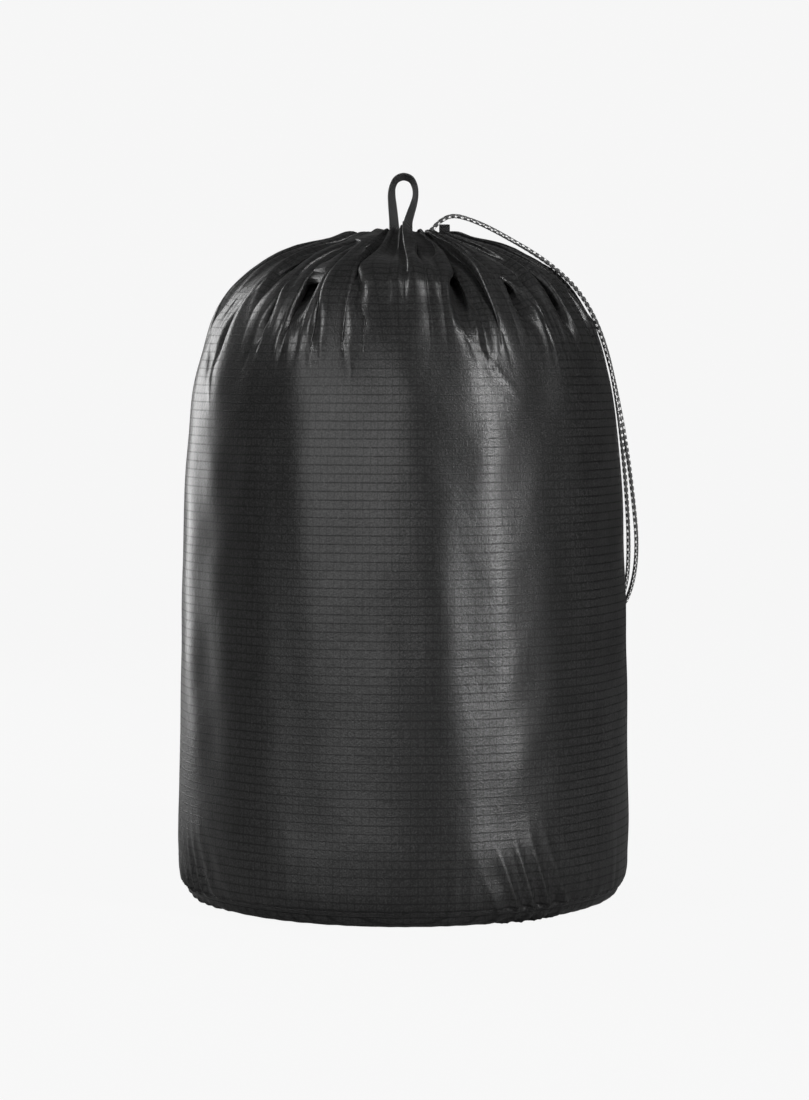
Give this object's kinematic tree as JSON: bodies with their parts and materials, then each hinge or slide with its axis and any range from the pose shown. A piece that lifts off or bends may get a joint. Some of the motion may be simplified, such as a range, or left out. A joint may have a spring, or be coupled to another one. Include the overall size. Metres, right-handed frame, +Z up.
{
  "type": "drawstring stuff sack",
  "caption": "Round-bottomed coated ripstop sack, packed full, with its mouth gathered shut by a flecked drawcord and sliding cord lock, and a webbing pull loop.",
  "frame": {"origin": "middle of the flat base, on the surface that the sack stands on", "axes": "+Z up through the mouth, -Y towards the front, +X to the right, the side that the cord hangs on"},
  "size_m": [0.2599, 0.2547, 0.4023],
  "materials": {
    "cloth": "satin coated ripstop nylon",
    "tape": "woven binding tape",
    "thread": "bonded polyester thread",
    "cord": "braided cord, grey with pale flecks",
    "webbing": "black narrow woven webbing",
    "lock": "moulded black acetal",
    "spring": "drawn spring wire"
  },
  "bodies": {
    "root": {"side_panel": "cloth", "gathered_top": "cloth", "base_panel": "cloth", "base_seam_binding": "tape", "side_seam_tape": "tape", "base_seam_stitches": "thread", "side_seam_stitches": "thread", "tunnel_stitches": "thread", "drawcord_tunnel": "cloth", "drawcord_in_tunnel": "cord", "drawcord_strand_front": "cord", "drawcord_strand_rear": "cord", "drawcord_knot": "cord", "webbing_loop_sewn_ends": "webbing", "webbing_loop_bartacks": "thread", "mouth_tab": "webbing", "mouth_tab_bartack": "thread"},
    "cord_lock": {"cord_lock_barrel": "lock", "cord_lock_spring": "spring"},
    "lock_button": {"cord_lock_plunger": "lock"},
    "pull_loop": {"webbing_loop": "webbing"}
  },
  "joints": [
    {"name": "lock_slide", "type": "slide", "parent": "root", "child": "cord_lock", "axis": [1, 0, 0], "range_m": [0, 0.006]},
    {"name": "button_press", "type": "slide", "parent": "cord_lock", "child": "lock_button", "axis": [0, -1, 0], "range_m": [0, 0.003], "stiffness_N_per_m": 1200, "springref_m": -0.002, "deforming": ["cord_lock_spring"]},
    {"name": "loop_tilt", "type": "hinge", "parent": "root", "child": "pull_loop", "pos_m": [0, -0.0135, 0.3719], "axis": [1, 0, 0], "range_deg": [-75, 75], "stiffness_Nm_per_rad": 0.002}
  ]
}
